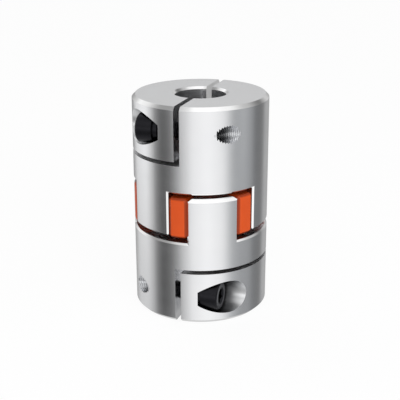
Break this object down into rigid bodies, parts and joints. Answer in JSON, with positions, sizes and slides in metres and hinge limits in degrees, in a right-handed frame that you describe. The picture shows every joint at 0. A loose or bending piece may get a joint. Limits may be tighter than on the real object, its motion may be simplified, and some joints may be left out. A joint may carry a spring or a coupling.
{
  "type": "jaw coupling",
  "caption": "Backlash-free shaft coupling: slotted aluminium clamping hubs with interlocking jaws, an elastomer spider between them and a tangential cap screw in each hub.",
  "frame": {"origin": "middle of the coupling on the shaft axis, halfway between the two end faces", "axes": "+Z along the shaft axis out of the upper hub's bore, the clamp slits of both hubs open towards -Y, the clamp screws lie along X"},
  "size_m": [0.04, 0.04, 0.0646],
  "materials": {
    "hub_aluminium": "turned, bright",
    "spider_elastomer": "moulded polyurethane, satin",
    "screw_steel": "black oxide"
  },
  "bodies": {
    "root": {"upper_hub": "hub_aluminium", "lower_hub": "hub_aluminium", "elastomer_spider": "spider_elastomer", "upper_clamp_screw": "screw_steel", "lower_clamp_screw": "screw_steel"}
  },
  "joints": []
}
